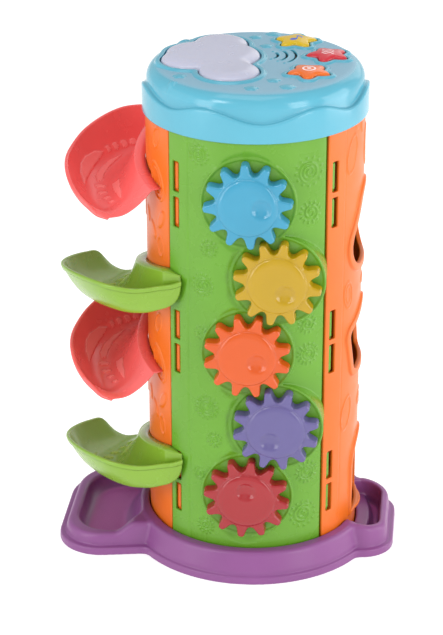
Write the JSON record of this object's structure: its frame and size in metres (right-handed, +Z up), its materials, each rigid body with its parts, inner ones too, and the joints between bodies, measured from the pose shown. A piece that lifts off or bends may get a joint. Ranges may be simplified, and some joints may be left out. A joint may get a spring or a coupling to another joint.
{
  "type": "ball drop tower toy",
  "caption": "Round toddler activity tower with hand-turned meshing gears, zigzag scoop ramps, drop holes, a doorway, ball trays and a lid with a lamp and star buttons.",
  "frame": {"origin": "on the floor under the tower axis, in the middle of the base", "axes": "+Z up along the tower axis, -Y the gear side, -X the ramp side, +X the doorway side"},
  "size_m": [0.3135, 0.2332, 0.4662],
  "materials": {
    "base_purple": "satin moulded plastic",
    "panel_green": "satin moulded plastic",
    "panel_orange": "satin moulded plastic",
    "ramp_red": "gloss moulded plastic",
    "ramp_green": "gloss moulded plastic",
    "lid_blue": "satin moulded plastic, matt top",
    "cloud_white": "translucent white plastic",
    "star_yellow": "gloss moulded plastic",
    "star_red": "gloss moulded plastic",
    "star_orange": "gloss moulded plastic",
    "gear_blue": "gloss moulded plastic",
    "gear_yellow": "gloss moulded plastic",
    "gear_orange": "gloss moulded plastic",
    "gear_purple": "gloss moulded plastic",
    "gear_red": "gloss moulded plastic",
    "steel": "zinc plated",
    "dark_plastic": "moulded black plastic",
    "board_green": "solder mask",
    "lamp_white": "clear epoxy",
    "battery_case": "printed metal sleeve",
    "dome_rubber": "silicone"
  },
  "bodies": {
    "tower": {"base": "base_purple", "base_screws": "steel", "ball_chute": "panel_orange", "front_panel": "panel_green", "left_panel": "panel_orange", "right_panel": "panel_orange", "back_panel": "panel_green", "ramp_red_upper": "ramp_red", "ramp_green_upper": "ramp_green", "ramp_red_lower": "ramp_red", "ramp_green_lower": "ramp_green", "lid_cover": "lid_blue", "lid_floor": "lid_blue", "lid_screws": "steel", "cloud_lens": "cloud_white", "lamp": "lamp_white", "circuit_board": "board_green", "speaker": "dark_plastic", "battery_box": "dark_plastic", "batteries": "battery_case", "battery_contacts": "steel", "battery_door": "lid_blue", "battery_door_screw": "steel", "switch_housing": "dark_plastic", "dome_yellow": "dome_rubber", "dome_red": "dome_rubber", "dome_orange": "dome_rubber"},
    "gear_train_blue": {"gear_blue": "gear_blue", "washer_blue": "steel", "screw_blue": "steel"},
    "gear_train_yellow": {"gear_yellow": "gear_yellow", "washer_yellow": "steel", "screw_yellow": "steel"},
    "gear_train_orange": {"gear_orange": "gear_orange", "washer_orange": "steel", "screw_orange": "steel"},
    "gear_train_purple": {"gear_purple": "gear_purple", "washer_purple": "steel", "screw_purple": "steel"},
    "gear_train_red": {"gear_red": "gear_red", "washer_red": "steel", "screw_red": "steel"},
    "button_yellow": {"star_yellow": "star_yellow"},
    "button_red": {"star_red": "star_red"},
    "button_orange": {"star_orange": "star_orange"},
    "power_switch": {"switch_knob": "star_orange"}
  },
  "joints": [
    {"name": "gear_blue_spin", "type": "hinge", "parent": "tower", "child": "gear_train_blue", "pos_m": [0.0028, -0.0941, 0.3634], "axis": [0, -1, 0], "continuous": true},
    {"name": "gear_yellow_spin", "type": "hinge", "parent": "tower", "child": "gear_train_yellow", "pos_m": [0.0288, -0.0941, 0.2928], "axis": [0, -1, 0], "continuous": true},
    {"name": "gear_orange_spin", "type": "hinge", "parent": "tower", "child": "gear_train_orange", "pos_m": [0.0028, -0.0941, 0.2222], "axis": [0, -1, 0], "continuous": true},
    {"name": "gear_purple_spin", "type": "hinge", "parent": "tower", "child": "gear_train_purple", "pos_m": [0.0288, -0.0941, 0.1516], "axis": [0, -1, 0], "continuous": true},
    {"name": "gear_red_spin", "type": "hinge", "parent": "tower", "child": "gear_train_red", "pos_m": [0.0028, -0.0941, 0.081], "axis": [0, -1, 0], "continuous": true},
    {"name": "button_yellow_press", "type": "slide", "parent": "tower", "child": "button_yellow", "axis": [0, 0, -1], "range_m": [0, 0.0025], "stiffness_N_per_m": 400, "springref_m": -0.0008, "deforming": ["dome_yellow"]},
    {"name": "button_red_press", "type": "slide", "parent": "tower", "child": "button_red", "axis": [0, 0, -1], "range_m": [0, 0.0025], "stiffness_N_per_m": 400, "springref_m": -0.0008, "deforming": ["dome_red"]},
    {"name": "button_orange_press", "type": "slide", "parent": "tower", "child": "button_orange", "axis": [0, 0, -1], "range_m": [0, 0.0025], "stiffness_N_per_m": 400, "springref_m": -0.0008, "deforming": ["dome_orange"]},
    {"name": "power_switch_slide", "type": "slide", "parent": "tower", "child": "power_switch", "axis": [1, 0, 0], "range_m": [0, 0.007]}
  ],
  "couplings": [
    {"joint": "gear_yellow_spin", "follows": "gear_blue_spin", "ratio": -1},
    {"joint": "gear_orange_spin", "follows": "gear_blue_spin", "ratio": 1},
    {"joint": "gear_purple_spin", "follows": "gear_blue_spin", "ratio": -1},
    {"joint": "gear_red_spin", "follows": "gear_blue_spin", "ratio": 1}
  ]
}
